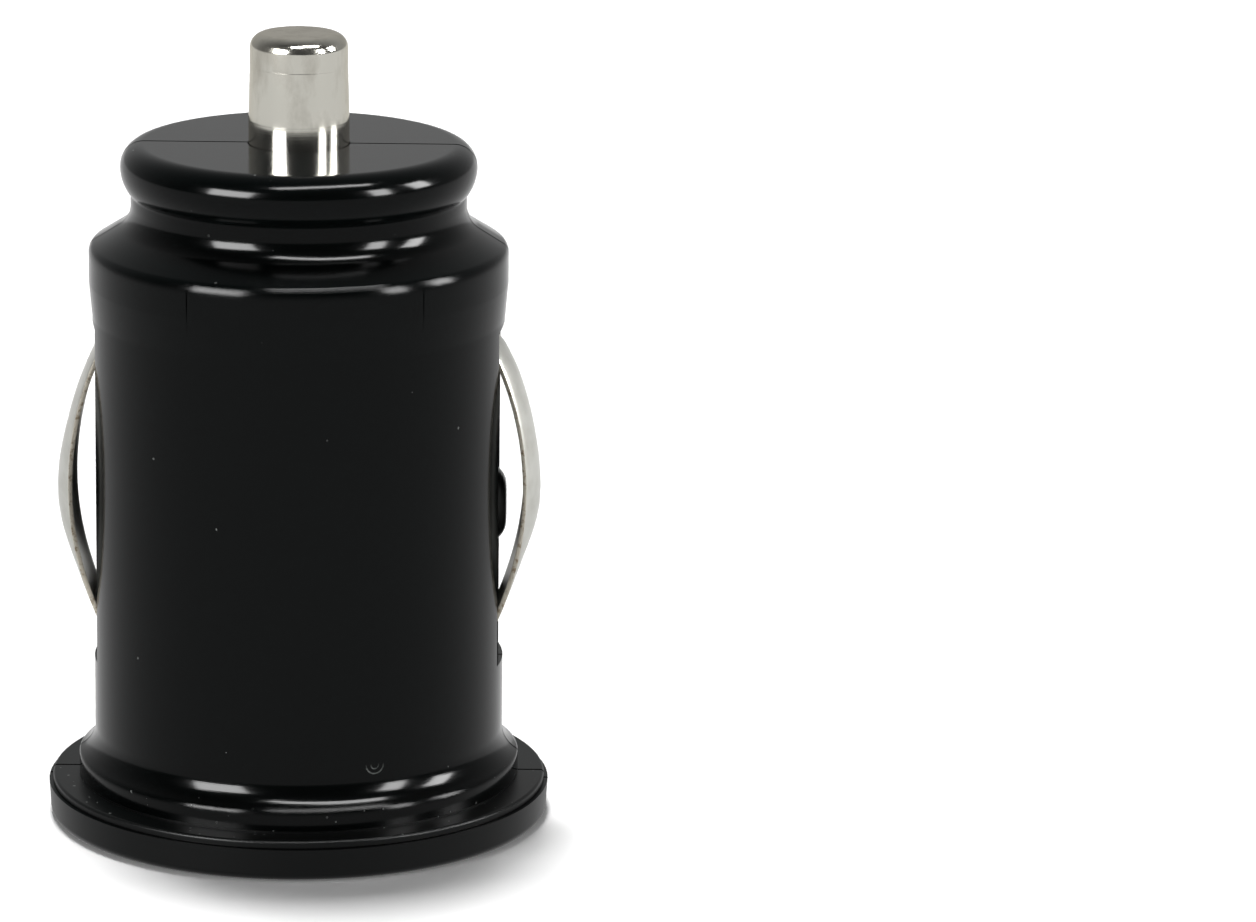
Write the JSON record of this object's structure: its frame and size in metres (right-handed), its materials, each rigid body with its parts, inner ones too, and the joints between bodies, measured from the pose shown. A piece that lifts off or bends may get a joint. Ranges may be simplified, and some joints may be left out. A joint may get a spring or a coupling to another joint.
{
  "type": "car usb charger plug",
  "caption": "Short black charger plug for a car's lighter socket, with a sprung centre pin, two bowed side contacts and USB ports in its flanged face.",
  "frame": {"origin": "centre of the flange's flat face, which the charger stands on", "axes": "+Z along the plug's axis from the face to the centre pin, +X through the right side contact, +Y from the front port to the back port"},
  "size_m": [0.0252, 0.0252, 0.0399],
  "materials": {
    "black_plastic": "gloss",
    "nickel": "bright nickel plate",
    "spring_steel": "drawn wire",
    "contact_brass": "plated brass strip",
    "tinned_steel": "tinned sheet",
    "white_plastic": "satin",
    "circuit_board": "solder mask",
    "black_sleeve": "shrink sleeve",
    "dark_blue_sleeve": "shrink sleeve",
    "ferrite": "sintered",
    "copper_wire": "enamelled wire",
    "black_epoxy": "moulded epoxy"
  },
  "bodies": {
    "charger": {"front_half_shell": "black_plastic", "back_half_shell": "black_plastic", "face_cap": "black_plastic", "tip_spring": "spring_steel", "spring_terminal": "contact_brass", "front_usb_shell": "tinned_steel", "back_usb_shell": "tinned_steel", "front_usb_tongue": "white_plastic", "back_usb_tongue": "white_plastic", "front_usb_contact_1": "contact_brass", "front_usb_contact_2": "contact_brass", "front_usb_contact_3": "contact_brass", "front_usb_contact_4": "contact_brass", "back_usb_contact_1": "contact_brass", "back_usb_contact_2": "contact_brass", "back_usb_contact_3": "contact_brass", "back_usb_contact_4": "contact_brass", "port_board": "circuit_board", "power_board": "circuit_board", "input_capacitor": "black_sleeve", "output_capacitor": "dark_blue_sleeve", "choke_core": "ferrite", "choke_winding": "copper_wire", "regulator_chip": "black_epoxy", "catch_diode": "black_epoxy", "upper_resistor": "black_epoxy", "lower_resistor": "black_epoxy"},
    "tip": {"tip_pin": "nickel"},
    "left_bow": {"left_contact": "nickel"},
    "right_bow": {"right_contact": "nickel"}
  },
  "joints": [
    {"name": "tip_press", "type": "slide", "parent": "charger", "child": "tip", "axis": [0, 0, -1], "range_m": [0, 0.0028], "stiffness_N_per_m": 900, "springref_m": -0.002, "deforming": ["tip_spring"]},
    {"name": "left_contact_press", "type": "slide", "parent": "charger", "child": "left_bow", "axis": [1, 0, 0], "range_m": [0, 0.0013], "stiffness_N_per_m": 2500, "springref_m": -0.0003},
    {"name": "right_contact_press", "type": "slide", "parent": "charger", "child": "right_bow", "axis": [-1, 0, 0], "range_m": [0, 0.00065], "stiffness_N_per_m": 2500, "springref_m": -0.0003}
  ]
}
